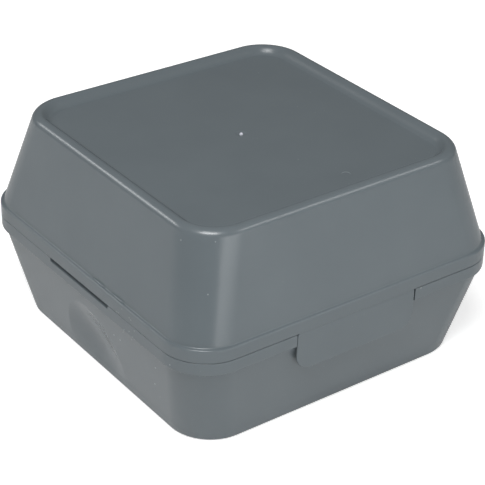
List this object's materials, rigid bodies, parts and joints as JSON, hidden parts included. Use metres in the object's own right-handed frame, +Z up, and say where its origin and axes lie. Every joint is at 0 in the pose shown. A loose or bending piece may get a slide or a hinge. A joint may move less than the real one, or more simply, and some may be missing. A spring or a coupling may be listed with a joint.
{
  "type": "burger box",
  "caption": "Square reusable burger box with tapered base and lid meeting at a raised band, a fold-down latch tab at the front and film hinges at the back.",
  "frame": {"origin": "middle of the box's footprint on the table, hinge straps included", "axes": "+Z up, -Y towards the latch tab, +Y towards the hinge, X along the hinge"},
  "size_m": [0.135, 0.137, 0.08],
  "materials": {
    "grey_polypropylene": "satin moulded polypropylene, blue-grey"
  },
  "bodies": {
    "base": {"base": "grey_polypropylene"},
    "lid": {"lid": "grey_polypropylene"},
    "latch_tab": {"latch_tab": "grey_polypropylene"}
  },
  "joints": [
    {"name": "lid_hinge", "type": "hinge", "parent": "base", "child": "lid", "pos_m": [0, 0.06863, 0.0389], "axis": [-1, 0, 0], "range_deg": [0, 170]},
    {"name": "tab_fold", "type": "hinge", "parent": "lid", "child": "latch_tab", "pos_m": [0, -0.06847, 0.0389], "axis": [-1, 0, 0], "range_deg": [0, 130]}
  ]
}
